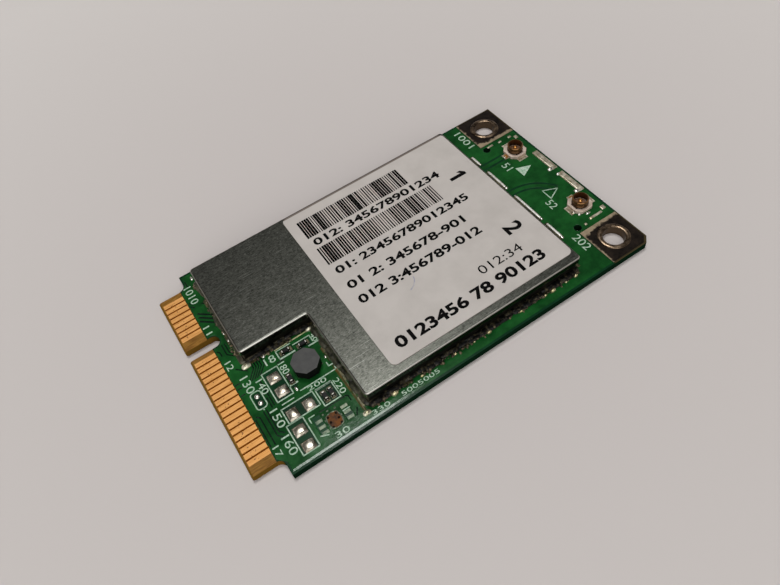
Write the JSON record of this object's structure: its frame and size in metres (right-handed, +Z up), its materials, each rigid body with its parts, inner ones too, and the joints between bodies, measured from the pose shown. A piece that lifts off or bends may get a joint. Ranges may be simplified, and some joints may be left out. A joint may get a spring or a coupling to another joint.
{
  "type": "mini pcie wifi card",
  "caption": "Full-size mini card radio module: green board with a keyed gold edge connector, an L-shaped metal shield with a label, mounting holes and coaxial antenna sockets.",
  "frame": {"origin": "centre of the board's outline on the underside that the card rests on", "axes": "+X along the card from the edge contacts to the antenna sockets, +Y across the card towards the shorter row of contacts, +Z up from the underside to the shield and label"},
  "size_m": [0.051, 0.03, 0.0034],
  "materials": {
    "lacquered_board": "green solder lacquer over laminate, satin",
    "gold_plate": "thin gold plate, satin",
    "dark_plate": "dark tarnished plate",
    "tinned_copper": "dull tin over copper",
    "shield_steel": "tin-plated sheet with a fine grain, satin",
    "frame_steel": "tin-plated sheet, bright",
    "solder": "bright reflowed solder",
    "label_paper": "coated white label with black print",
    "socket_plastic": "moulded pale beige",
    "socket_gold": "gold plate, darkened",
    "ferrite": "ground ferrite, matt",
    "copper_wire": "enamelled copper wire",
    "bare_copper": "bare copper, tarnished brown",
    "resistor_ceramic": "dark glazed film on ceramic",
    "capacitor_ceramic": "fired tan ceramic",
    "chip_resin": "moulded black resin",
    "crystal_ceramic": "fired pale ceramic"
  },
  "bodies": {
    "root": {"antenna_switch": "chip_resin", "band_filters": "capacitor_ceramic", "capacitor_bodies": "capacitor_ceramic", "chip_ends": "tinned_copper", "circuit_board": "lacquered_board", "component_lands": "tinned_copper", "crystal_base": "crystal_ceramic", "crystal_lid": "frame_steel", "edge_contacts_bottom": "gold_plate", "edge_contacts_top": "gold_plate", "ground_strips": "tinned_copper", "inductor_core": "ferrite", "inductor_sleeve": "ferrite", "inductor_terminals": "tinned_copper", "inductor_winding": "copper_wire", "label": "label_paper", "memory_chip": "chip_resin", "memory_chip_leads": "tinned_copper", "mounting_pad_far": "dark_plate", "mounting_pad_near": "dark_plate", "power_amplifiers": "chip_resin", "resistor_bodies": "resistor_ceramic", "shield_cover": "shield_steel", "shield_frame": "frame_steel", "shield_lands": "tinned_copper", "shield_solder": "solder", "socket_base_far": "socket_plastic", "socket_base_near": "socket_plastic", "socket_lands": "tinned_copper", "socket_pin_far": "socket_gold", "socket_pin_near": "socket_gold", "socket_shell_far": "socket_gold", "socket_shell_near": "socket_gold", "spare_capacitor_lands": "solder", "spare_regulator_land": "bare_copper", "spare_regulator_pads": "tinned_copper", "spare_resistor_lands": "solder", "test_lands": "gold_plate", "voltage_regulator": "chip_resin", "voltage_regulator_leads": "tinned_copper", "wireless_chip": "chip_resin"}
  },
  "joints": []
}
